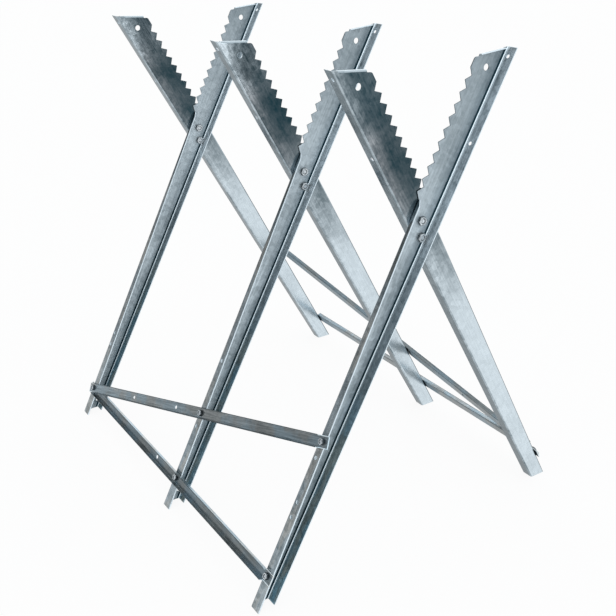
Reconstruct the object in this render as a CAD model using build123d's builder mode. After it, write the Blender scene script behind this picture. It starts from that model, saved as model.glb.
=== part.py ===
"""Folding log sawhorse of galvanised sheet steel.

Three crossed pairs of folded legs stand in a row along X. Above each crossing the two toothed jaws
form a V cradle for a log. Front legs run from the front feet (-Y) up to the rear, rear legs the other
way, and two channel braces tie each set of three legs together. The upper bolts of the three crossings
are the fold's axis. The lower bolts slide in curved slots in the rear legs and lock the fold.

Millimetres, +Z up, origin on the floor under the middle of the sawhorse.
"""
import os
from math import asin, atan2, cos, degrees, hypot, sin, tan

from build123d import *

# Overall
overall_height = 800.0
left_frame_x = -360.0
middle_frame_x = 40.0
right_frame_x = 360.0

# Leg blank: the inner bend's reach at the floor, sheet, bend and widths
foot_reach = 286.0
leg_sheet = 1.5
leg_bend_radius = 2.0
inner_flange = 20.0
foot_depth = 32.5
jaw_width = 52.0

# Jaw: slanted top edge with a turned lip, notches along the toothed edge, hole near the tip
top_edge_drop = 34.0
top_corner_radius = 5.0
lip_depth = 6.0
lip_start = 9.0
lip_end_gap = 6.0
lip_relief = 1.5
first_notch_drop = 62.5
tooth_pitch = 19.0
tooth_depth = 8.5
tooth_tip_flat = 0.8
notch_count = 11
tip_hole_diameter = 10.0
tip_hole_drop = 42.0
tip_hole_across = 24.4

# Hole through a front leg's web just above the foot, and two through every inner flange below the top
foot_hole_diameter = 6.0
foot_hole_rise = 15.0
foot_hole_across = 9.0
flange_hole_diameter = 6.0
flange_hole_across = 9.5
upper_flange_hole_drop = 15.0
lower_flange_hole_drop = 149.0

# Crossing: pivot bolt's height and place across the web, lock bolt below it, and in degrees the angle
# left between the legs when folded and the slot's spare travel beyond that
pivot_height = 566.0
pivot_across = 22.2
lock_drop = 26.0
folded_angle = 5.6
slot_spare_angle = 0.5
web_gap = 0.2

# Braces: a channel with flat tongues, and how far up the front of the legs its bolts sit
brace_sheet = 1.2
brace_bend_radius = 0.8
brace_height = 20.0
brace_flange = 8.0
brace_tongue = 20.0
brace_end = 15.0
brace_bolt_inset = 9.0
spare_brace_hole = 200.0
low_brace_rise = 57.5
diagonal_top_rise = 288.0
spare_hole_drop = 27.0
diagonal_lift = 0.2

# Fasteners
pivot_diameter = 8.0
pivot_across_flats = 13.0
pivot_head_height = 5.3
pivot_nut_height = 6.5
brace_bolt_diameter = 6.0
brace_across_flats = 10.0
brace_head_height = 4.0
brace_nut_height = 5.0
fastener_chamfer = 0.6
washer_face = 0.5
bolt_end_show = 2.0

# Clearances, on the radius for round fits
running_clearance = 0.05
slot_clearance = 0.2
bolt_clearance = 0.3
thread_clearance = 0.05
seat_clearance = 0.05
flange_clearance = 2.0

# Leg in its own plane: s runs up the inner bend from the floor, v runs across the web to the teeth
lean = atan2(foot_reach, pivot_height) + asin(pivot_across / hypot(foot_reach, pivot_height))
leg_length = overall_height / cos(lean)
last_notch = leg_length - first_notch_drop - (notch_count - 1) * tooth_pitch
jaw_root = jaw_width - tooth_depth
foot_s = -foot_depth * sin(lean)
foot_v = foot_depth * cos(lean)
corner_radius = leg_sheet + leg_bend_radius
top_edge_length = hypot(jaw_width, top_edge_drop)
lip_length = top_edge_length - lip_start - lip_end_gap
below_floor = jaw_width
pivot_s = pivot_height * cos(lean) + foot_reach * sin(lean)
slot_travel = 2 * degrees(lean) - folded_angle + slot_spare_angle

# Slanted outer bend: from the foot to the lowest notch, and the flange that is left beyond it
fold_length = hypot(last_notch - foot_s, jaw_root - foot_v)
fold_angle = atan2(jaw_root - foot_v, last_notch - foot_s)
seat_lean = lean - fold_angle
flange_at_foot = jaw_width - foot_v
flange_at_jaw = tooth_depth
flange_end_slant = tooth_pitch / 2

# Diagonal brace: its slope up the front of the legs, and the flange it clears at the low brace
frame_span = right_frame_x - left_frame_x
diagonal_rise = diagonal_top_rise - low_brace_rise
diagonal_slope = atan2(diagonal_rise, frame_span)
diagonal_edge = brace_height / 2 / cos(diagonal_slope)
shared_tongue = brace_end + (
    diagonal_edge - brace_height / 2 + brace_sheet + flange_clearance
) / tan(diagonal_slope)
shared_relief = brace_end + (diagonal_edge + brace_height / 2 + flange_clearance) / tan(diagonal_slope)

FRONT = 1
REAR = -1
frames = {"left": left_frame_x, "middle": middle_frame_x, "right": right_frame_x}


def turned(side, x, y, z):
    """A point or direction of the front frame, turned half round the upright axis for the rear one."""
    return Vector(side * x, side * y, z)


def leg_plane(side, frame_x):
    """Back of a leg's web: x up the inner bend, y across the web to the teeth, z to the flanges' side."""
    return Plane(
        origin=turned(side, side * frame_x + web_gap / 2, -foot_reach, 0),
        x_dir=turned(side, 0, sin(lean), cos(lean)),
        z_dir=turned(side, 1, 0, 0),
    )


def seat_plane(side):
    """Outer faces of one side's outer flanges: x along the sawhorse, y up the legs, z outward."""
    return Plane(
        origin=turned(side, 0, -foot_reach - foot_depth, 0),
        x_dir=turned(side, 1, 0, 0),
        z_dir=turned(side, 0, -cos(seat_lean), sin(seat_lean)),
    )


def bolt_place(side, frame_x):
    """Where a leg's brace bolts lie along its side's seat plane."""
    return side * frame_x + web_gap / 2 + brace_bolt_inset


def side_places(side):
    """Bolt places at the shared end, the middle leg and the high end of one side's braces."""
    places = sorted(bolt_place(side, x) for x in frames.values())
    return places[0], places[1], places[2]


def diagonal_part(side):
    """How far along the diagonal its middle bolt lies, from 0 at the shared end to 1."""
    shared, middle, high = side_places(side)
    return (middle - shared) / (high - shared)


def diagonal_seat(part):
    """Height of the diagonal's back over the seat plane: over the low brace's tongue, then on the leg."""
    return (brace_sheet + diagonal_lift) * (1 - part) + seat_clearance * part


def middle_rise(side):
    """How far up the middle leg the diagonal's bolt sits."""
    return low_brace_rise + diagonal_rise * diagonal_part(side)


def leg_bolt_rises(side, frame_x):
    """Bolt holes up a leg's outer flange, used and spare. Legs towards the diagonal's high end have more."""
    shared, middle, high = side_places(side)
    place = bolt_place(side, frame_x)
    rises = [low_brace_rise, middle_rise(FRONT), middle_rise(REAR)]
    if place > shared:
        rises.append(diagonal_top_rise)
    if place == high:
        rises.append(diagonal_top_rise - spare_hole_drop)
    return rises


def build_leg(side, frame_x):
    """One folded leg with its toothed jaw. Rear legs have the lock bolt's slot, front legs a hole."""
    web = leg_plane(side, frame_x)
    fold_along = web.x_dir * cos(fold_angle) + web.y_dir * sin(fold_angle)
    fold_across = web.y_dir * cos(fold_angle) - web.x_dir * sin(fold_angle)
    foot = web.from_local_coords((foot_s, foot_v, 0))
    notch = web.from_local_coords((last_notch, jaw_root, 0))
    inner_bend = Plane(web.from_local_coords((-below_floor, 0, 0)), x_dir=web.y_dir, z_dir=web.x_dir)
    outer_bend = Plane(notch, x_dir=-fold_across, z_dir=-fold_along)
    outer_face = Plane(foot, x_dir=web.z_dir, z_dir=fold_across)
    tip = web.from_local_coords((leg_length, 0, 0))
    top_edge_along = web.y_dir * jaw_width - web.x_dir * top_edge_drop
    top_edge_out = web.x_dir * jaw_width + web.y_dir * top_edge_drop
    top_edge = Plane(tip, x_dir=web.z_dir, z_dir=top_edge_out)
    top_strip = Plane(tip, x_dir=top_edge_along, z_dir=web.z_dir)
    lip_bend = Plane(
        top_strip.from_local_coords((lip_start, 0, 0)), x_dir=top_strip.y_dir, z_dir=top_strip.x_dir
    )
    inner_face = Plane(web.origin, x_dir=web.x_dir, z_dir=web.y_dir)
    top_corner_drop = top_edge_drop + corner_radius * top_edge_length / jaw_width
    top_corner = web.from_local_coords((leg_length - top_corner_drop, jaw_width, leg_sheet / 2))
    web_inset = corner_radius / cos(fold_angle)
    web_start = foot_s - below_floor
    web_start_v = foot_v - below_floor * tan(fold_angle) - web_inset
    web_end = leg_length + jaw_width
    lock_s = pivot_s - lock_drop * cos(lean)
    lock_v = pivot_across - lock_drop * sin(lean)

    with BuildPart() as leg:
        # Flat web and jaw, up to the bends
        with BuildSketch(web):
            Polygon(
                (web_start, corner_radius),
                (web_start, web_start_v),
                (last_notch, jaw_root - web_inset),
                (last_notch, jaw_width),
                (web_end, jaw_width),
                (web_end, corner_radius),
                align=None,
            )
        extrude(amount=leg_sheet)

        # Strip of the jaw's top that the lip's bend takes, with a relief slot beside the inner bend
        with BuildSketch(top_strip):
            with Locations((lip_start - lip_relief, corner_radius)):
                Rectangle(2 * jaw_width, 2 * jaw_width, align=(Align.MIN, Align.MAX))
        extrude(amount=leg_sheet, mode=Mode.SUBTRACT)

        # The two flanges and the lip, each with its bend and a strip of the web
        bends = (
            (inner_bend, inner_flange, web_end + below_floor),
            (outer_bend, jaw_width, fold_length + below_floor),
            (lip_bend, lip_depth, lip_length),
        )
        for bend, flange, length in bends:
            with BuildSketch(bend) as angle:
                Polygon(
                    (0, 0),
                    (2 * corner_radius, 0),
                    (2 * corner_radius, leg_sheet),
                    (leg_sheet, leg_sheet),
                    (leg_sheet, flange),
                    (0, flange),
                    align=None,
                )
                fillet(angle.vertices().sort_by_distance((leg_sheet, leg_sheet))[0], leg_bend_radius)
                fillet(angle.vertices().sort_by_distance((0, 0))[0], corner_radius)
            extrude(amount=length)

        # Outer flange tapers to the jaw, where it ends on the lowest notch's slant
        with BuildSketch(outer_face):
            Polygon(
                (corner_radius, fold_length + leg_sheet),
                (corner_radius, fold_length),
                (flange_at_jaw, fold_length - flange_end_slant),
                (flange_at_foot, 0),
                (flange_at_foot, -below_floor),
                (2 * jaw_width, -below_floor),
                (2 * jaw_width, fold_length + leg_sheet),
                align=None,
            )
        extrude(amount=-2 * leg_sheet, mode=Mode.SUBTRACT)

        # Teeth
        half_mouth = (tooth_pitch - tooth_tip_flat) / 2
        notch_middle = (leg_length - first_notch_drop + last_notch) / 2
        with BuildSketch(web):
            with Locations((notch_middle, jaw_width)):
                with GridLocations(tooth_pitch, tooth_pitch, notch_count, 1):
                    Polygon(
                        (-2 * half_mouth, tooth_depth),
                        (0, -tooth_depth),
                        (2 * half_mouth, tooth_depth),
                        align=None,
                    )
        extrude(amount=leg_sheet, mode=Mode.SUBTRACT)

        # Holes through the web: pivot, lock, jaw tip, and a front leg's foot
        with BuildSketch(web):
            with Locations((pivot_s, pivot_across)):
                Circle(pivot_diameter / 2 + running_clearance)
            if side == FRONT:
                with Locations((lock_s, lock_v)):
                    Circle(pivot_diameter / 2 + slot_clearance)
            else:
                with BuildLine() as path:
                    CenterArc(
                        (pivot_s, pivot_across),
                        lock_drop,
                        180 + degrees(lean) - slot_travel,
                        slot_travel,
                    )
                SlotArc(path.wire(), pivot_diameter + 2 * slot_clearance)
            with Locations((leg_length - tip_hole_drop, tip_hole_across)):
                Circle(tip_hole_diameter / 2)
            if side == FRONT:
                with Locations((foot_hole_rise, foot_hole_across)):
                    Circle(foot_hole_diameter / 2)
        extrude(amount=leg_sheet, mode=Mode.SUBTRACT)

        # Holes through the inner flange
        with BuildSketch(inner_face):
            drops = (upper_flange_hole_drop, lower_flange_hole_drop)
            with Locations([(leg_length - drop, -flange_hole_across) for drop in drops]):
                Circle(flange_hole_diameter / 2)
        extrude(amount=leg_sheet, mode=Mode.SUBTRACT)

        # Brace bolt holes through the outer flange
        with BuildSketch(outer_face):
            with Locations([(brace_bolt_inset, rise) for rise in leg_bolt_rises(side, frame_x)]):
                Circle(brace_bolt_diameter / 2 + bolt_clearance)
        extrude(amount=-2 * leg_sheet, mode=Mode.SUBTRACT)

        # Foot cut level with the floor, top cut on its slant with a rounded corner
        split(bisect_by=Plane.XY, keep=Keep.TOP)
        split(bisect_by=top_edge, keep=Keep.BOTTOM)
        fillet(leg.edges().filter_by(Axis.X).sort_by_distance(top_corner)[0], top_corner_radius)
    return leg.part


def build_brace(plane, span, inner_holes, shared_end_tongue, shared_end_relief):
    """One channel brace. Its plane lies on its back, x along it, z outward, with the origin at mid span."""
    length = span + 2 * brace_end
    end = Plane(plane.from_local_coords((-length / 2, 0, 0)), x_dir=plane.y_dir, z_dir=plane.x_dir)
    web_face = plane.offset(brace_sheet)
    half = brace_height / 2
    relief_height = brace_sheet + brace_bend_radius
    holes = [-span / 2, span / 2, *inner_holes]

    with BuildPart() as brace:
        with BuildSketch(end) as channel:
            Polygon(
                (-half, 0),
                (half, 0),
                (half, brace_flange),
                (half - brace_sheet, brace_flange),
                (half - brace_sheet, brace_sheet),
                (brace_sheet - half, brace_sheet),
                (brace_sheet - half, brace_flange),
                (-half, brace_flange),
                align=None,
            )
            fillet(channel.vertices().group_by(Axis.Y)[1], brace_bend_radius)
            fillet(channel.vertices().group_by(Axis.Y)[0], brace_bend_radius + brace_sheet)
        extrude(amount=length)

        # Flanges cut back to leave flat tongues, and the upper one where the diagonal passes
        with BuildSketch(web_face):
            with Locations((-length / 2, 0)):
                Rectangle(shared_end_tongue, brace_height, align=(Align.MIN, Align.CENTER))
            with Locations((length / 2, 0)):
                Rectangle(brace_tongue, brace_height, align=(Align.MAX, Align.CENTER))
            if shared_end_relief:
                with Locations((-length / 2, half)):
                    Rectangle(shared_end_relief, relief_height, align=(Align.MIN, Align.MAX))
        extrude(amount=brace_flange, mode=Mode.SUBTRACT)

        with BuildSketch(plane):
            with Locations([(x, 0) for x in holes]):
                Circle(brace_bolt_diameter / 2 + bolt_clearance)
        extrude(amount=brace_sheet, mode=Mode.SUBTRACT)
    return brace.part


def build_low_brace(side):
    """The level brace just above the feet."""
    seat = seat_plane(side)
    shared, middle, high = side_places(side)
    centre = (shared + high) / 2
    plane = Plane(seat.from_local_coords((centre, low_brace_rise, 0)), x_dir=seat.x_dir, z_dir=seat.z_dir)
    inner_holes = (middle - centre, centre - middle)
    return build_brace(plane, high - shared, inner_holes, brace_tongue, shared_relief)


def build_diagonal_brace(side):
    """The sloping brace, from the low brace's end bolt up to the leg at the other end."""
    seat = seat_plane(side)
    shared, middle, high = side_places(side)
    start = seat.from_local_coords((shared, low_brace_rise, diagonal_seat(0)))
    finish = seat.from_local_coords((high, diagonal_top_rise, diagonal_seat(1)))
    run = finish - start
    along = run.normalized()
    outward = seat.z_dir - along * seat.z_dir.dot(along)
    plane = Plane((start + finish) * 0.5, x_dir=along, z_dir=outward)
    middle_hole = run.length * (diagonal_part(side) - 0.5)
    inner_holes = (middle_hole, -middle_hole, -spare_brace_hole)
    return build_brace(plane, run.length, inner_holes, shared_tongue, 0)


def build_bolts(seats, diameter, across_flats, head_height):
    """Hexagon bolts. Each seat is the plane under a head, facing out, with the length below it."""
    with BuildPart() as bolts:
        for seat, length in seats:
            with BuildSketch(seat):
                Circle(across_flats / 2 - fastener_chamfer)
            extrude(amount=washer_face)
            with BuildSketch(seat.offset(washer_face)):
                RegularPolygon(across_flats / 2, 6, major_radius=False)
            extrude(amount=head_height - washer_face - fastener_chamfer)
            with BuildSketch(seat.offset(head_height - fastener_chamfer)):
                RegularPolygon(across_flats / 2, 6, major_radius=False)
            extrude(amount=fastener_chamfer, taper=45)
            shank = -seat
            with BuildSketch(shank):
                Circle(diameter / 2)
            extrude(amount=length - fastener_chamfer)
            with BuildSketch(shank.offset(length - fastener_chamfer)):
                Circle(diameter / 2)
            extrude(amount=fastener_chamfer, taper=45)
    return bolts.part


def build_nuts(seats, diameter, across_flats, height):
    """Hexagon nuts. Each seat is the plane that a nut bears on, facing out of the work."""
    with BuildPart() as nuts:
        for seat in seats:
            with BuildSketch(seat):
                Circle(across_flats / 2 - fastener_chamfer)
            extrude(amount=washer_face)
            with BuildSketch(seat.offset(washer_face)):
                RegularPolygon(across_flats / 2, 6, major_radius=False)
            extrude(amount=height - washer_face - fastener_chamfer)
            with BuildSketch(seat.offset(height - fastener_chamfer)):
                RegularPolygon(across_flats / 2, 6, major_radius=False)
            extrude(amount=fastener_chamfer, taper=45)
            with BuildSketch(seat):
                Circle(diameter / 2 + thread_clearance)
            extrude(amount=height, mode=Mode.SUBTRACT)
    return nuts.part


def crossing_seats(frame_x, height):
    """Planes under the head and under the nut of a bolt through the two webs, and its length."""
    head = Plane((frame_x + web_gap / 2 + leg_sheet, 0, height), x_dir=(0, 1, 0), z_dir=(1, 0, 0))
    nut = Plane(
        (frame_x - web_gap / 2 - leg_sheet - seat_clearance, 0, height), x_dir=(0, 1, 0), z_dir=(-1, 0, 0)
    )
    length = web_gap + 2 * leg_sheet + seat_clearance + pivot_nut_height + bolt_end_show
    return head, nut, length


def brace_fasteners(side):
    """Seats of one side's brace bolts, with their lengths, and of their nuts."""
    seat = seat_plane(side)
    shared, middle, high = side_places(side)
    shared_stack = diagonal_seat(0) + brace_sheet + seat_clearance
    middle_stack = diagonal_seat(diagonal_part(side)) + brace_sheet + seat_clearance
    high_stack = diagonal_seat(1) + brace_sheet + seat_clearance
    places = (
        (shared, low_brace_rise, shared_stack),
        (middle, low_brace_rise, brace_sheet),
        (high, low_brace_rise, brace_sheet),
        (middle, middle_rise(side), middle_stack),
        (high, diagonal_top_rise, high_stack),
    )
    bolts = []
    nuts = []
    for x, rise, stack in places:
        head = Plane(seat.from_local_coords((x, rise, stack)), x_dir=seat.x_dir, z_dir=seat.z_dir)
        nut = Plane(seat.from_local_coords((x, rise, -leg_sheet)), x_dir=seat.x_dir, z_dir=-seat.z_dir)
        bolts.append((head, stack + leg_sheet + brace_nut_height + bolt_end_show))
        nuts.append(nut)
    return bolts, nuts


def save(part, name):
    """Label a finished piece and write it as its own file."""
    part.label = name
    export_step(part, f"parts/{name}.step")


os.makedirs("parts", exist_ok=True)

for side, side_name in ((FRONT, "front"), (REAR, "rear")):
    for frame_name, frame_x in frames.items():
        save(build_leg(side, frame_x), f"{side_name}_leg_{frame_name}")
    save(build_low_brace(side), f"{side_name}_low_brace")
    save(build_diagonal_brace(side), f"{side_name}_diagonal_brace")
    bolt_seats, nut_seats = brace_fasteners(side)
    save(
        build_bolts(bolt_seats, brace_bolt_diameter, brace_across_flats, brace_head_height),
        f"{side_name}_brace_bolts",
    )
    save(
        build_nuts(nut_seats, brace_bolt_diameter, brace_across_flats, brace_nut_height),
        f"{side_name}_brace_nuts",
    )

for bolt_name, bolt_height in (("pivot", pivot_height), ("lock", pivot_height - lock_drop)):
    for frame_name, frame_x in frames.items():
        head_seat, nut_seat, bolt_length = crossing_seats(frame_x, bolt_height)
        save(
            build_bolts([(head_seat, bolt_length)], pivot_diameter, pivot_across_flats, pivot_head_height),
            f"{bolt_name}_bolt_{frame_name}",
        )
        save(
            build_nuts([nut_seat], pivot_diameter, pivot_across_flats, pivot_nut_height),
            f"{bolt_name}_nut_{frame_name}",
        )
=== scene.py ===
from math import asin, atan2, cos, hypot, pi, radians, sin, tan
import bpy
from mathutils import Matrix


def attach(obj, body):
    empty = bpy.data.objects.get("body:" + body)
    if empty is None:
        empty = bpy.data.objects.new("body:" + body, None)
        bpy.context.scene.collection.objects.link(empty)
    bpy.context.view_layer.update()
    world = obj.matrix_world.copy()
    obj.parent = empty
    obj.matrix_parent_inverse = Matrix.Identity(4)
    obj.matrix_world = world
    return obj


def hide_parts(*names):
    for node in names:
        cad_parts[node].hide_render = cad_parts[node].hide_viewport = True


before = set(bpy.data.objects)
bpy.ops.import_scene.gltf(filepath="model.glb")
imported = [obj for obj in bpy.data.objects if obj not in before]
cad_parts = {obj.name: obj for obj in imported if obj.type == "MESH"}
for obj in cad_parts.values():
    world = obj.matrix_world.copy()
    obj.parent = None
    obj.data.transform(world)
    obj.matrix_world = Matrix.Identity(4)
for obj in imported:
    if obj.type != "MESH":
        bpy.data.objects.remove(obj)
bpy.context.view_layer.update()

from types import SimpleNamespace

import bmesh
import bpy
from mathutils import Matrix, Vector

mm = 0.001

# Legs, as they are made
frame_places = {"left": -360 * mm, "middle": 40 * mm, "right": 360 * mm}
overall_height = 800 * mm
foot_reach = 286 * mm
foot_depth = 32.5 * mm
jaw_width = 52 * mm
tooth_depth = 8.5 * mm
lowest_notch_drop = 252.5 * mm
pivot_height = 566 * mm
pivot_across = 22.2 * mm
lock_drop = 26 * mm
leg_sheet = 1.5 * mm
web_gap = 0.2 * mm
seat_clearance = 0.05 * mm
lean = atan2(foot_reach, pivot_height) + asin(pivot_across / hypot(foot_reach, pivot_height))
lowest_notch = overall_height / cos(lean) - lowest_notch_drop
jaw_root = jaw_width - tooth_depth
foot_corner_up = -foot_depth * sin(lean)
foot_corner_over = foot_depth * cos(lean)
flange_at_foot = jaw_width - foot_corner_over
flange_at_jaw = tooth_depth
seat_lean = lean - atan2(jaw_root - foot_corner_over, lowest_notch - foot_corner_up)
FRONT = 1
REAR = -1
side_names = {FRONT: "front", REAR: "rear"}

# Braces, as they are made
brace_sheet = 1.2 * mm
brace_height = 20 * mm
brace_flange = 8 * mm
brace_tongue = 20 * mm
brace_end = 15 * mm
brace_bolt_inset = 9 * mm
low_brace_rise = 57.5 * mm
diagonal_top_rise = 288 * mm
diagonal_lift = 0.2 * mm
frame_span = frame_places["right"] - frame_places["left"]
diagonal_slope = atan2(diagonal_top_rise - low_brace_rise, frame_span)

# Bolts and nuts: thread, width over the flats, head and nut heights
crossing_thread = 8 * mm
crossing_pitch = 1.25 * mm
crossing_flats = 13 * mm
crossing_head = 5.3 * mm
crossing_nut = 6.5 * mm
brace_thread = 6 * mm
brace_pitch = 1.0 * mm
brace_flats = 10 * mm
brace_head = 4 * mm
brace_nut = 5 * mm
washer_face = 0.5 * mm
washer_step = 0.6 * mm
head_dish = 1.1 * mm
dish_floor_share = 0.5
dish_mouth_share = 0.75
bolt_end_show = 2 * mm
thread_clearance = 0.05 * mm
thread_depth_share = 0.6
chamfer_fall = tan(radians(30))
turn_steps = 48
sharp_turn = radians(20)

# Light and shade painted into the legs' zinc, face by face and up the leg, where 0 is the darkest and 1 the
# palest, and heights up the leg
plain_tone = 0.45
web_foot_tone = 0.34
web_high_tone = 0.55
low_back_tone = 0.78
jaw_dark_tone = 0.07
jaw_pale_tone = 0.2
jaw_tip_tones = {"left": 0.4, "middle": 0.4, "right": 0.11}
flange_low_tone = 0.27
flange_high_tone = 0.55
strip_foot_tone = 0.1
strip_high_tone = 0.17
outer_foot_tone = 0.36
outer_high_tone = 0.58
outer_bend_shade_tone = 0.08
outer_bend_highlight_tone = 0.6
cut_edge_tone = 0.1
painted_highlight_tone = 1.0
jaw_begins = 410 * mm
low_full = 420 * mm
jaw_full = 640 * mm
jaw_darkest = 740 * mm

# Light painted into the braces, as a whole and paler on their tops, and painted highlights and shade on bolts
# and nuts
brace_tones = {
    (FRONT, "low"): (0.22, 0.6),
    (FRONT, "diagonal"): (0.35, 0.35),
    (REAR, "low"): (0.22, 0.54),
    (REAR, "diagonal"): (0.23, 0.23),
}
brace_edge_tone = 0.12
bolt_flat_shade_tone = 0.08
bolt_end_highlight_tones = (0.35, 0.9)
bolt_metallic = 0.45

# Sizes of crystals, streaks, clouds, patches and flecks, how far they are drawn out and how far they tilt
leg_crystal = 7 * mm
leg_crystal_tilt = 0.012
leg_fine_crystal = 2.5 * mm
leg_fine_tilt = 0.01
leg_streak = 2.5 * mm
leg_streak_share = 0.04
leg_cloud = 70 * mm
leg_patch = 18 * mm
leg_patch_share = 0.3
leg_fleck = 5 * mm
leg_fleck_share = 0.45
brace_crystal = 6 * mm
brace_crystal_tilt = 0.03
brace_streak = 1.6 * mm
brace_streak_share = 0.03
brace_cloud = 40 * mm
bolt_speck = 2 * mm
crystal_shift = (0.37, 0.61, 0.23)
crystal_smoothness = 0.35
fine_seed_step = 5

# How squarely a face looks along an axis, from where it begins to count to where it counts in full
square_from = 0.85
square_to = 0.97

# Photograph's view: the image's side and focal length in pixels, where the camera looks and from how far
image_side = 616
focal_pixels = 936.83
sensor_width = 36.0
camera_aim = Vector((-0.0558, 0.0642, 0.2525))
camera_distance = 1.8592
camera_turn = radians(57.601)
camera_rise = radians(24.537)
camera_roll = radians(-1.371)

# Floor, and how much of it shows plain white rather than the light that falls on it
floor_half = 15
floor_shown_share = 0.92


# Shader values

class Shade:
    """A socket of a shader tree. Sums on it add Math nodes, and make() adds any other node."""

    def __init__(self, tree, socket=None):
        self.tree = tree
        self.socket = socket

    def make(self, kind, settings=None, inputs=None, output=0):
        """A new node: settings first, then inputs, then the output to go on with, by name or number."""
        node = self.tree.nodes.new(kind)
        for name, value in (settings or {}).items():
            setattr(node, name, value)
        for name, value in (inputs or {}).items():
            if isinstance(value, Shade):
                self.tree.links.new(value.socket, node.inputs[name])
            else:
                node.inputs[name].default_value = value
        return Shade(self.tree, node.outputs[output] if node.outputs else None)

    def math(self, operation, first, second=0.0):
        return self.make("ShaderNodeMath", {"operation": operation}, {0: first, 1: second})

    def __add__(self, other):
        return self.math("ADD", self, other)

    def __radd__(self, other):
        return self.math("ADD", other, self)

    def __sub__(self, other):
        return self.math("SUBTRACT", self, other)

    def __rsub__(self, other):
        return self.math("SUBTRACT", other, self)

    def __mul__(self, other):
        return self.math("MULTIPLY", self, other)

    def __rmul__(self, other):
        return self.math("MULTIPLY", other, self)

    def __abs__(self):
        return self.math("ABSOLUTE", self)

    def lesser(self, other):
        return self.math("MINIMUM", self, other)

    def greater(self, other):
        return self.math("MAXIMUM", self, other)

    def fade(self, low, high):
        """0 at low, 1 at high, smooth between and held outside."""
        return self.make(
            "ShaderNodeMapRange",
            {"interpolation_type": "SMOOTHSTEP"},
            {"Value": self, "From Min": low, "From Max": high},
        )

    def between(self, first, second):
        """A number between two, by this value."""
        return first + (second - first) * self

    def along(self, direction):
        """How far a point or direction lies along a fixed direction."""
        return self.make(
            "ShaderNodeVectorMath", {"operation": "DOT_PRODUCT"}, {0: self, 1: direction}, output="Value"
        )

    def vector(self, operation, other):
        return self.make("ShaderNodeVectorMath", {"operation": operation}, {0: self, 1: other})

    def scaled(self, amount):
        return self.make("ShaderNodeVectorMath", {"operation": "SCALE"}, {0: self, "Scale": amount})

    def unit(self):
        return self.make("ShaderNodeVectorMath", {"operation": "NORMALIZE"}, {0: self})

    def mix(self, first, second):
        """A colour between two, by this value. A Mix node has its colours at sockets 6, 7 and 2."""
        return self.make("ShaderNodeMix", {"data_type": "RGBA"}, {0: self, 6: first, 7: second}, output=2)


def opaque(red, green, blue):
    return (red, green, blue, 1.0)


# Colours of each finish, dark end and pale end, and tints that go over them
leg_colours = (opaque(0.0, 0.03, 0.045), opaque(0.82, 0.93, 1.0))
brace_colours = (opaque(0.01, 0.03, 0.04), opaque(0.87, 0.955, 1.0))
bolt_colours = (opaque(0.0, 0.01, 0.015), opaque(0.88, 0.95, 1.0))
no_tint = opaque(1.0, 1.0, 1.0)
flange_teals = (opaque(1.0, 1.0, 0.9), opaque(0.62, 0.95, 1.07))
flange_warm = opaque(1.12, 1.0, 0.91)
jaw_back_warm = opaque(1.12, 1.0, 0.97)
brace_tints = (opaque(1.05, 1.0, 0.96), opaque(0.9, 1.0, 1.06))
studio_tint = (0.97, 1.0, 1.02)
floor_white = opaque(0.9, 0.9, 0.9)
backdrop_white = opaque(0.98, 0.98, 0.98)
shown_white = opaque(1.0, 1.0, 1.0)


def new_material(name):
    """An empty material and a shade to build it from."""
    material = bpy.data.materials.new(name)
    material.use_nodes = True
    material.node_tree.nodes.clear()
    return material, Shade(material.node_tree)


def metal_surface(canvas, colour, metallic, roughness, normal):
    surface = canvas.make(
        "ShaderNodeBsdfPrincipled",
        {},
        {"Base Color": colour, "Metallic": metallic, "Roughness": roughness, "Normal": normal},
    )
    canvas.make("ShaderNodeOutputMaterial", {}, {"Surface": surface})


def noise(canvas, place, size, detail=2.0, roughness=0.55):
    """Cloudy noise of about one size, between 0 and 1."""
    return canvas.make(
        "ShaderNodeTexNoise",
        {},
        {"Vector": place, "Scale": 1 / size, "Detail": detail, "Roughness": roughness},
    )


def drawn_out(canvas, place, share):
    """A place from its three measures. The first counts for a share only, so a pattern lies long that way."""
    along, across, off = place
    return canvas.make("ShaderNodeCombineXYZ", {}, {"X": along * share, "Y": across, "Z": off})


def spangle(canvas, place, size, seed):
    """Zinc crystals of about one size: a level for each, and a lean of its own way in each."""
    own_place = place.vector("ADD", tuple(seed * shift for shift in crystal_shift))
    cells = canvas.make(
        "ShaderNodeTexVoronoi",
        {"feature": "SMOOTH_F1"},
        {"Vector": own_place, "Scale": 1 / size, "Smoothness": crystal_smoothness},
        output="Color",
    )
    level = canvas.make("ShaderNodeSeparateColor", {}, {"Color": cells})
    leaning = cells.vector("SUBTRACT", (0.5, 0.5, 0.5))
    return level, leaning


# Where the braces sit

def bolt_places(side):
    """Where one side's brace bolts lie along it: at the shared end, the middle leg and the high end."""
    return sorted(side * x + web_gap / 2 + brace_bolt_inset for x in frame_places.values())


def diagonal_seat(part):
    """How far the diagonal's back stands off the legs. The part is 0 at its low end, 1 at its high end."""
    return (brace_sheet + diagonal_lift) * (1 - part) + seat_clearance * part


# Zinc on the legs

def leg_place(canvas, side, frame_x):
    """Where a point of a leg is, up the leg from its foot, over the web and off it, and how it faces."""
    up = (0, side * sin(lean), cos(lean))
    across = (0, -side * cos(lean), sin(lean))
    off = (side, 0, 0)
    point = canvas.make("ShaderNodeTexCoord", output="Object")
    straight = canvas.make("ShaderNodeNewGeometry", output="Normal")
    up_leg = point.along(up) + foot_reach * sin(lean)
    return SimpleNamespace(
        point=point,
        straight=straight,
        up_leg=up_leg,
        over_web=point.along(across) - foot_reach * cos(lean),
        off_web=point.along(off) - (side * frame_x + web_gap / 2),
        facing=straight.along(off),
        sideways=straight.along(across),
        endways=straight.along(up),
        jaw=up_leg.fade(jaw_begins, jaw_full),
        low=up_leg.fade(jaw_full, low_full),
    )


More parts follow.
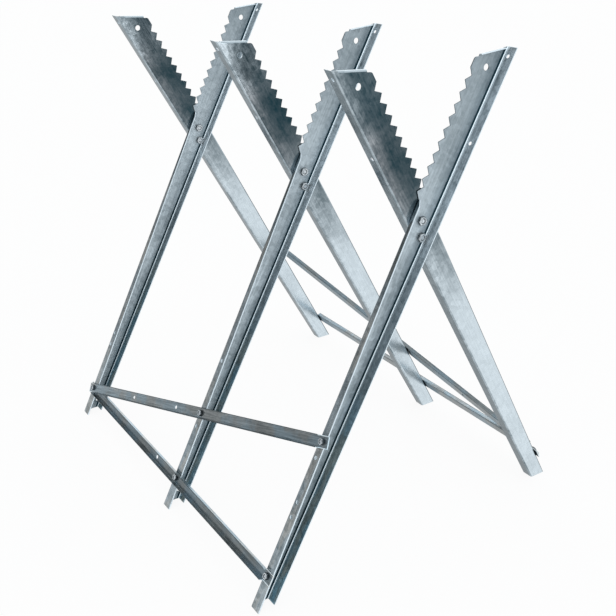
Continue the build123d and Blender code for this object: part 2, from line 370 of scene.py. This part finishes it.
def leg_faces(at):
    """How far a point belongs to each face, bend and edge of the folded sheet, from 0 to 1."""
    outer_half = at.over_web.fade(13 * mm, 17 * mm)
    inner_half = 1 - outer_half
    turned = abs(at.facing)
    inside = at.facing.fade(square_from, square_to)
    bend = turned.fade(0.06, 0.25) * turned.fade(0.98, 0.9) * at.off_web.fade(5 * mm, 4 * mm)
    flange = abs(at.sideways).fade(0.8, 0.95) * at.off_web.fade(2 * mm, 3.5 * mm)
    flange_inside = flange * at.sideways.fade(0.5, 0.8) * inner_half
    outer_flange = flange * outer_half
    fold_share = (at.up_leg - foot_corner_up) * (1 / (lowest_notch - foot_corner_up))
    to_rim = fold_share.between(flange_at_foot, flange_at_jaw) - at.off_web
    return SimpleNamespace(
        # Sides of the web, of the inner flange and of the outer one
        inside=inside,
        back=at.facing.fade(-square_from, -square_to),
        flange_inside=flange_inside,
        strip=flange * at.sideways.fade(-0.5, -0.8) * inner_half,
        outer_flange=outer_flange,
        # Bends, and the corner beside the inner one, where shade is painted
        inner_bend=bend * inner_half * at.facing.fade(0.0, 0.3),
        outer_bend=bend * outer_half,
        bend_side=flange_inside * at.off_web.fade(6.2 * mm, 5.2 * mm),
        corner=inside * at.over_web.fade(8 * mm, 5.5 * mm) * at.off_web.fade(4 * mm, 3 * mm),
        # Rims of the flanges, the lip at the jaw's top, the web's cut edge and the walls of holes; all but
        # the cut edge get a painted highlight
        rim=inside * at.off_web.fade(4 * mm, 5 * mm),
        rim_side=outer_flange * to_rim.fade(1.5 * mm, 0.9 * mm),
        lip=at.endways.fade(0.7, 0.82) * at.off_web.fade(0.2 * mm, 1 * mm),
        sheet_edge=turned.fade(0.15, 0.05) * at.off_web.fade(1.9 * mm, 1.5 * mm),
        hole_wall=abs(at.sideways).fade(0.3, 0.1) * at.off_web.fade(2.5 * mm, 3.5 * mm),
    )


def leg_pattern(canvas, at, seed):
    """Crystals, streaks up the leg, clouds, patches and flecks of a leg's zinc."""
    level, leaning = spangle(canvas, at.point, leg_crystal, seed)
    fine, fine_leaning = spangle(canvas, at.point, leg_fine_crystal, seed + fine_seed_step)
    own_place = (at.up_leg, at.over_web + seed, at.off_web)
    streaks = noise(canvas, drawn_out(canvas, own_place, leg_streak_share), leg_streak)
    clouds = noise(canvas, at.point, leg_cloud)
    patches = noise(canvas, drawn_out(canvas, own_place, leg_patch_share), leg_patch, detail=3.0)
    flecks = noise(canvas, drawn_out(canvas, own_place, leg_fleck_share), leg_fleck, detail=5.0)
    return SimpleNamespace(
        streaks=streaks,
        clouds=clouds,
        mottle=patches.fade(0.38, 0.62),
        flecks=flecks.fade(0.45, 0.75) * at.up_leg.fade(640 * mm, 780 * mm),
        grain=0.22 * level + 0.1 * fine + 0.55 * streaks + 0.4 * clouds - 0.64,
        tilt=leaning.scaled(leg_crystal_tilt).vector("ADD", fine_leaning.scaled(leg_fine_tilt)),
    )


def painted_leg_tone(at, face, pattern, tip_tone):
    """Light and shade painted into the zinc by face and by height on the leg."""
    # Inside of the web: painted shade, darker at the foot, beside the inner bend and towards the top
    web = at.up_leg.fade(-100 * mm, 460 * mm).between(web_foot_tone, web_high_tone)
    web = web * at.over_web.fade(5 * mm, 24 * mm).between(0.85, 1.06)
    tone = face.inside.between(plain_tone, web)
    tone = tone * (1 - 0.33 * face.inside * at.up_leg.fade(620 * mm, 860 * mm))

    # Back of the web: a painted reflection, pale below, cloudy and dark on the jaw, paler at its tip and
    # beside the inner bend
    jaw_back = abs(at.up_leg - jaw_darkest).fade(0, 160 * mm).between(jaw_dark_tone, jaw_pale_tone)
    jaw_back = at.up_leg.fade(780 * mm, 860 * mm).between(jaw_back, tip_tone) * (1.8 * pattern.clouds + 0.1)
    jaw_back = jaw_back * at.over_web.fade(3 * mm, 27 * mm).between(2.1, 0.72)
    tone = face.back.between(tone, at.jaw.between(low_back_tone, jaw_back))

    # Inner flange, in painted shade: its inside, darker low down but paler at the foot, and the strip on its
    # other side, painted dark
    flange = at.low.between(flange_high_tone, flange_low_tone)
    flange = flange * at.up_leg.fade(160 * mm, 30 * mm).between(1.0, 1.6)
    flange = flange * at.up_leg.fade(870 * mm, 920 * mm).between(1.0, 0.7)
    tone = face.flange_inside.between(tone, flange)
    strip = at.up_leg.fade(100 * mm, 700 * mm).between(strip_foot_tone, strip_high_tone)
    tone = face.strip.between(tone, strip)

    # Outer flange, in painted light and shade: paler up the leg, dark where it narrows to the jaw
    outer = at.up_leg.fade(50 * mm, 350 * mm).between(outer_foot_tone, outer_high_tone)
    tone = face.outer_flange.between(tone, outer)
    return tone * (1 - 0.6 * face.outer_flange * at.up_leg.fade(470 * mm, 580 * mm))


def leg_tint(at, face, pattern, painted_edge_highlight):
    """The zinc's hue: teal patches low on the inner flange, warm ones on the outer, and warm jaw backs."""
    teal = pattern.mottle.mix(*flange_teals)
    warm = pattern.mottle.mix(no_tint, flange_warm)
    tint = (face.flange_inside * at.up_leg.fade(440 * mm, 220 * mm)).mix(no_tint, teal)
    tint = (face.outer_flange * (1 - painted_edge_highlight)).mix(tint, warm)
    warm_back = face.back * at.up_leg.fade(580 * mm, 720 * mm) * at.up_leg.fade(860 * mm, 760 * mm)
    return warm_back.mix(tint, jaw_back_warm)


def galvanised_leg(name, side, frame_x, tip_tone, seed):
    """Hot-dip zinc on a leg: crystals, streaks up the leg, clouds and cut edges, with light and shade painted
    face by face, painted highlights on the inner bend and the rims, and painted shade in the corner beside
    the inner bend.

    The tip tone is how pale the back of its jaw is at the tip, as a painted reflection."""
    material, canvas = new_material(name)
    at = leg_place(canvas, side, frame_x)
    face = leg_faces(at)
    pattern = leg_pattern(canvas, at, seed)
    # Painted highlight along the inner bend and the flange beside it, fainter low down
    painted_bend_highlight = (face.inner_bend + face.bend_side * (1 - 0.8 * at.low)).lesser(1.0)
    painted_edge_highlight = (face.rim + face.rim_side + face.lip + face.hole_wall + painted_bend_highlight).lesser(1.0)
    satin = (face.inside + face.flange_inside).lesser(1.0)

    grain_share = 2.2 - 1.7 * face.back * (1 - at.jaw) - face.inside * (1 - 0.4 * at.low)
    zinc = painted_leg_tone(at, face, pattern, tip_tone) * (1 + pattern.grain * grain_share)
    zinc = zinc * (1 - 0.6 * pattern.flecks * face.back)
    # Painted shade in the corner beside the inner bend
    zinc = zinc * (1 - 0.97 * face.corner)
    # Painted shade along the outer bend below the jaw, and a painted highlight on it at the jaw
    zinc = face.outer_bend.between(zinc, at.jaw.between(outer_bend_shade_tone, outer_bend_highlight_tone))
    zinc = face.sheet_edge.between(zinc, cut_edge_tone)
    # Painted highlights on bends, rims, the jaw's lip and hole walls
    zinc = painted_edge_highlight.between(zinc, painted_highlight_tone)
    colour = zinc.mix(*leg_colours)
    colour = colour.vector("MULTIPLY", leg_tint(at, face, pattern, painted_edge_highlight))
    metallic = (1 - 0.5 * satin * (1 - face.corner)) * (1 - 0.85 * painted_edge_highlight + 0.5 * painted_bend_highlight)
    roughness = 0.16 + 0.1 * pattern.streaks + 0.2 * satin * (1 - painted_bend_highlight)
    normal = at.straight.vector("ADD", pattern.tilt).unit()
    metal_surface(canvas, colour, metallic, roughness, normal)
    return material


# Zinc on the braces

def galvanised_brace(name, side, slope, end_lifts, tones, seed):
    """Duller zinc on a brace channel: streaks along it, dark flange edges, and painted highlights on the rims
    of its flat tongues and on its cut ends.

    The end lifts are how far its back stands off the legs at its shared end and at its other end. The tones
    are painted light: how pale its zinc is on the whole and, paler, on its top."""
    material, canvas = new_material(name)
    outward = Vector((0, -side * cos(seat_lean), sin(seat_lean)))
    up_leg = Vector((0, side * sin(seat_lean), cos(seat_lean)))
    level_way = Vector((side, 0, 0))
    along = level_way * cos(slope) + up_leg * sin(slope)
    upward = up_leg * cos(slope) - level_way * sin(slope)
    shared, _, high = bolt_places(side)
    start = Vector((0, -side * (foot_reach + foot_depth), 0)) + level_way * shared + up_leg * low_brace_rise
    span = (high - shared) / cos(slope)
    point = canvas.make("ShaderNodeTexCoord", output="Object")
    straight = canvas.make("ShaderNodeNewGeometry", output="Normal")
    run = point.along(along) - start.dot(along)
    over = point.along(upward) - start.dot(upward)
    lift = (run * (1 / span)).between(end_lifts[0], end_lifts[1])
    off_back = point.along(outward) - start.dot(outward) - lift

    # Edges: the flanges' dark ones, and the tongues' rims and the cut ends, which get a painted highlight
    flange_edge = off_back.fade(brace_flange - 0.8 * mm, brace_flange - 0.4 * mm)
    to_end = (run + brace_end).lesser(span + brace_end - run)
    on_tongue = to_end.fade(brace_tongue + 1 * mm, brace_tongue) * off_back.fade(2 * mm, 1.5 * mm)
    to_rim = to_end.lesser(brace_height / 2 - abs(over))
    tongue_rim = on_tongue * to_rim.fade(1.6 * mm, 1 * mm)
    cut_end = abs(straight.along(along)).fade(0.75, 0.9)
    painted_edge_highlight = (tongue_rim + cut_end).lesser(1.0)

    level, leaning = spangle(canvas, point, brace_crystal, seed)
    own_place = (run, over + seed, off_back)
    streaks = noise(canvas, drawn_out(canvas, own_place, brace_streak_share), brace_streak)
    clouds = noise(canvas, point, brace_cloud)
    # Painted light: the top faces paler than the rest
    tone = straight.along(upward).fade(0.7, 0.9).between(*tones)
    zinc = tone * (0.2 * level + 1.8 * streaks + 0.6 * clouds - 0.3)
    zinc = flange_edge.between(zinc, brace_edge_tone)
    zinc = painted_edge_highlight.between(zinc, painted_highlight_tone)
    colour = zinc.mix(*brace_colours)
    tint = clouds.fade(0.4, 0.6).mix(*brace_tints)
    metallic = 1 - 0.8 * painted_edge_highlight
    roughness = 0.24 + 0.14 * clouds
    normal = straight.vector("ADD", leaning.scaled(brace_crystal_tilt)).unit()
    metal_surface(canvas, colour.vector("MULTIPLY", tint), metallic, roughness, normal)
    return material


# Plated bolts and nuts

def bolt_zinc_painted_light(name, axis):
    """Plating on bolts and nuts that lie along one axis, with painted light: a painted highlight on their
    ends and painted shade on their flats.
    """
    material, canvas = new_material(name)
    point = canvas.make("ShaderNodeTexCoord", output="Object")
    straight = canvas.make("ShaderNodeNewGeometry", output="Normal")
    specks = noise(canvas, point, bolt_speck)
    end = abs(straight.along(axis)).fade(0.75, 0.97)
    # Painted highlight on the ends, painted shade on the flats
    tone = end.between(bolt_flat_shade_tone, specks.fade(0.3, 0.6).between(*bolt_end_highlight_tones))
    colour = tone.mix(*bolt_colours)
    roughness = 0.12 + 0.16 * specks
    metal_surface(canvas, colour, bolt_metallic, roughness, straight)
    return material


def round_ring(radius, height):
    """Radius and height of the points on one ring round a fastener's axis."""
    return [(radius, height)] * turn_steps


def hexagon_ring(flats, height, fall):
    """A ring on a hexagon with a corner on the x axis, whose height falls beyond the washer face's radius."""
    ring = []
    for step in range(turn_steps):
        turn = 2 * pi * step / turn_steps
        radius = flats / 2 / cos(turn % (pi / 3) - pi / 6)
        ring.append((radius, height - fall * (radius - flats / 2 + washer_step)))
    return ring


def bolt_rings(flats, head, thread, pitch, length):
    """A hexagon bolt from the dish in its head down to its end. Height 0 is under the head."""
    bearing = flats / 2 - washer_step
    root = thread / 2 - thread_depth_share * pitch
    rings = [
        round_ring(dish_floor_share * bearing, head - head_dish),
        round_ring(dish_mouth_share * bearing, head),
        round_ring(bearing, head),
        hexagon_ring(flats, head, chamfer_fall),
        hexagon_ring(flats, washer_face, 0),
        round_ring(bearing, washer_face),
        round_ring(bearing, 0),
        round_ring(thread / 2, 0),
    ]
    turns = int(length / pitch) - 1
    for turn in range(turns):
        end = length - pitch * (turns - turn)
        rings.append(round_ring(thread / 2, -end))
        rings.append(round_ring(root, -end - pitch / 2))
    rings.append(round_ring(thread / 2 - washer_step / 2, -length + pitch / 4))
    rings.append(round_ring(root, -length))
    return rings


def nut_rings(flats, height, thread, pitch):
    """A hexagon nut: up its outside from the bearing face, then down its threaded bore. Height 0 bears."""
    bearing = flats / 2 - washer_step
    bore = thread / 2 + thread_clearance
    root = bore + thread_depth_share * pitch / 2
    mouth = bore + pitch / 2
    rings = [
        round_ring(mouth, 0),
        round_ring(bearing, 0),
        round_ring(bearing, washer_face),
        hexagon_ring(flats, washer_face, -chamfer_fall),
        hexagon_ring(flats, height, chamfer_fall),
        round_ring(bearing, height),
        round_ring(mouth, height),
    ]
    turns = int(height / pitch) - 1
    start = (height - turns * pitch) / 2
    for turn in range(turns):
        rings.append(round_ring(bore, height - start - turn * pitch))
        rings.append(round_ring(root, height - start - (turn + 0.5) * pitch))
    rings.append(round_ring(bore, start))
    return rings


def seat_matrix(origin, x_axis, z_axis):
    """Where a fastener stands: its origin, the way a corner points and the way its axis points."""
    x_axis = Vector(x_axis)
    z_axis = Vector(z_axis)
    turn = Matrix((x_axis, z_axis.cross(x_axis), z_axis)).transposed().to_4x4()
    return Matrix.Translation(Vector(origin)) @ turn


def add_rings(shape, rings, seat, hollow):
    """Skin a row of rings at a seat. A hollow row closes on itself, and another gets flat ends."""
    rows = []
    for ring in rings:
        row = []
        for step, (radius, height) in enumerate(ring):
            turn = 2 * pi * step / turn_steps
            row.append(shape.verts.new(seat @ Vector((radius * cos(turn), radius * sin(turn), height))))
        rows.append(row)
    pairs = list(zip(rows, rows[1:]))
    if hollow:
        pairs.append((rows[-1], rows[0]))
    for upper, lower in pairs:
        for step in range(turn_steps):
            after = (step + 1) % turn_steps
            shape.faces.new((upper[step], upper[after], lower[after], lower[step]))
    if not hollow:
        shape.faces.new(rows[0])
        shape.faces.new(list(reversed(rows[-1])))


def fasteners(node_name, body, parts, hollow, material):
    """One piece for a node's bolts or nuts. Each part is its rings and its seat."""
    shape = bmesh.new()
    for rings, seat in parts:
        add_rings(shape, rings, seat, hollow)
    bmesh.ops.recalc_face_normals(shape, faces=shape.faces[:])
    mesh = bpy.data.meshes.new(f"{node_name}_threaded")
    shape.to_mesh(mesh)
    shape.free()
    mesh.shade_smooth()
    mesh.set_sharp_from_angle(angle=sharp_turn)
    mesh.materials.append(material)
    piece = bpy.data.objects.new(f"{node_name}_threaded", mesh)
    bpy.context.scene.collection.objects.link(piece)
    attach(piece, body)
    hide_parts(node_name)


def crossing_fasteners(kind, frame_name, frame_x, height, material):
    """The bolt and nut of one kind through a crossing's two webs."""
    half_stack = web_gap / 2 + leg_sheet
    length = 2 * half_stack + seat_clearance + crossing_nut + bolt_end_show
    bolt_seat = seat_matrix((frame_x + half_stack, 0, height), (0, 1, 0), (1, 0, 0))
    nut_seat = seat_matrix((frame_x - half_stack - seat_clearance, 0, height), (0, 1, 0), (-1, 0, 0))
    bolt = bolt_rings(crossing_flats, crossing_head, crossing_thread, crossing_pitch, length)
    nut = nut_rings(crossing_flats, crossing_nut, crossing_thread, crossing_pitch)
    fasteners(f"{kind}_bolt_{frame_name}", "front_frame", [(bolt, bolt_seat)], False, material)
    fasteners(f"{kind}_nut_{frame_name}", "front_frame", [(nut, nut_seat)], True, material)


def brace_fasteners(side, material):
    """The five bolts and nuts of one side's braces."""
    shared, middle, high = bolt_places(side)
    middle_part = (middle - shared) / (high - shared)
    middle_rise = low_brace_rise + (diagonal_top_rise - low_brace_rise) * middle_part
    over_diagonal = brace_sheet + seat_clearance
    places = (
        (shared, low_brace_rise, diagonal_seat(0) + over_diagonal),
        (middle, low_brace_rise, brace_sheet),
        (high, low_brace_rise, brace_sheet),
        (middle, middle_rise, diagonal_seat(middle_part) + over_diagonal),
        (high, diagonal_top_rise, diagonal_seat(1) + over_diagonal),
    )
    along = Vector((side, 0, 0))
    outward = Vector((0, -side * cos(seat_lean), sin(seat_lean)))
    up_leg = outward.cross(along)
    foot = Vector((0, -side * (foot_reach + foot_depth), 0))
    bolts = []
    nuts = []
    for x, rise, stack in places:
        on_leg = foot + along * x + up_leg * rise
        length = stack + leg_sheet + brace_nut + bolt_end_show
        bolt = bolt_rings(brace_flats, brace_head, brace_thread, brace_pitch, length)
        nut = nut_rings(brace_flats, brace_nut, brace_thread, brace_pitch)
        bolts.append((bolt, seat_matrix(on_leg + outward * stack, along, outward)))
        nuts.append((nut, seat_matrix(on_leg - outward * leg_sheet, along, -outward)))
    side_name = side_names[side]
    fasteners(f"{side_name}_brace_bolts", f"{side_name}_frame", bolts, False, material)
    fasteners(f"{side_name}_brace_nuts", f"{side_name}_frame", nuts, True, material)


# Finish on the CAD nodes

def dress(node_name, material):
    """Give a CAD node its finish."""
    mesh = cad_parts[node_name].data
    mesh.materials.clear()
    mesh.materials.append(material)


# Studio

def place_camera():
    """The photograph's camera: turned round the sawhorse, raised, and rolled a little."""
    back = Vector((
        sin(camera_turn) * cos(camera_rise),
        -cos(camera_turn) * cos(camera_rise),
        sin(camera_rise),
    ))
    right = Vector((0, 0, 1)).cross(back).normalized()
    up = back.cross(right)
    rolled_right = right * cos(camera_roll) + up * sin(camera_roll)
    rolled_up = up * cos(camera_roll) - right * sin(camera_roll)
    data = bpy.data.cameras.new("camera")
    data.sensor_width = sensor_width
    data.lens = focal_pixels / image_side * sensor_width
    camera = bpy.data.objects.new("camera", data)
    bpy.context.scene.collection.objects.link(camera)
    turn = Matrix((rolled_right, rolled_up, back)).transposed().to_4x4()
    camera.matrix_world = Matrix.Translation(camera_aim + back * camera_distance) @ turn
    bpy.context.scene.camera = camera


def light_world():
    """A white studio, with a darker room behind the camera and a soft box to its right."""
    world = bpy.data.worlds.new("studio")
    bpy.context.scene.world = world
    world.use_nodes = True
    world.node_tree.nodes.clear()
    canvas = Shade(world.node_tree)
    direction = canvas.make("ShaderNodeTexCoord", output="Generated")

    def lobe(x, y, z, low, high):
        """A round patch of the world about one direction, by the cosines at its rim and at its heart."""
        return direction.along(Vector((x, y, z)).normalized()).fade(low, high)

    dark_front_left = lobe(-0.8, -0.58, 0.08, 0.55, 0.95) * 0.7
    dark_front_right = lobe(0.68, -0.73, 0, 0.7, 0.97) * 0.5
    soft_box = lobe(0.78, -0.53, 0.36, 0.955, 0.98) * 1.2
    level = (1 - dark_front_left) * (1 - dark_front_right) + soft_box
    tinted = canvas.make(
        "ShaderNodeVectorMath", {"operation": "SCALE"}, {0: studio_tint, "Scale": level}
    )
    camera_ray = canvas.make("ShaderNodeLightPath", output="Is Camera Ray")
    through_ray = canvas.make("ShaderNodeLightPath", output="Is Transmission Ray")
    shown = camera_ray.greater(through_ray).mix(tinted, backdrop_white)
    light = canvas.make("ShaderNodeBackground", {}, {"Color": shown, "Strength": 1.0})
    canvas.make("ShaderNodeOutputWorld", {}, {"Surface": light})


def lay_floor():
    """A plain white floor that keeps a soft shadow, and is as white in the metal as it is to the camera."""
    mesh = bpy.data.meshes.new("floor")
    signs = ((-1, -1), (1, -1), (1, 1), (-1, 1))
    corners = [(floor_half * x, floor_half * y, 0) for x, y in signs]
    mesh.from_pydata(corners, [], [(0, 1, 2, 3)])
    floor = bpy.data.objects.new("floor", mesh)
    bpy.context.scene.collection.objects.link(floor)
    material, canvas = new_material("white_floor")
    camera_ray = canvas.make("ShaderNodeLightPath", output="Is Camera Ray")
    glossy_ray = canvas.make("ShaderNodeLightPath", output="Is Glossy Ray")
    through_ray = canvas.make("ShaderNodeLightPath", output="Is Transmission Ray")
    matt = canvas.make("ShaderNodeBsdfDiffuse", {}, {"Color": floor_white})
    white = canvas.make("ShaderNodeEmission", {}, {"Color": shown_white, "Strength": 1.0})
    shown = camera_ray.greater(glossy_ray).greater(through_ray) * floor_shown_share
    surface = canvas.make("ShaderNodeMixShader", {}, {0: shown, 1: matt, 2: white})
    canvas.make("ShaderNodeOutputMaterial", {}, {"Surface": surface})
    mesh.materials.append(material)


# Put together
crossing_zinc = bolt_zinc_painted_light("bright_zinc_crossings", (1, 0, 0))
for side, side_name in side_names.items():
    brace_axis = (0, -side * cos(seat_lean), sin(seat_lean))
    bolt_zinc = bolt_zinc_painted_light(f"bolt_zinc_painted_light_{side_name}_braces", brace_axis)
    for number, (frame_name, frame_x) in enumerate(frame_places.items()):
        leg_name = f"{side_name}_leg_{frame_name}"
        leg_seed = number + len(frame_places) * (side == REAR)
        tip_tone = jaw_tip_tones[frame_name]
        dress(leg_name, galvanised_leg(f"galvanised_{leg_name}", side, frame_x, tip_tone, leg_seed))
    braces = {"low": (0, (0, 0)), "diagonal": (diagonal_slope, (diagonal_seat(0), diagonal_seat(1)))}
    for number, (brace_kind, (slope, end_lifts)) in enumerate(braces.items()):
        tones = brace_tones[side, brace_kind]
        brace_name = f"{side_name}_{brace_kind}_brace"
        brace_seed = number + len(braces) * (side == REAR)
        brace_zinc = galvanised_brace(f"galvanised_{brace_name}", side, slope, end_lifts, tones, brace_seed)
        dress(brace_name, brace_zinc)
    brace_fasteners(side, bolt_zinc)
for frame_name, frame_x in frame_places.items():
    crossing_fasteners("pivot", frame_name, frame_x, pivot_height, crossing_zinc)
    crossing_fasteners("lock", frame_name, frame_x, pivot_height - lock_drop, crossing_zinc)

place_camera()
light_world()
lay_floor()
bpy.context.scene.view_settings.view_transform = "Standard"
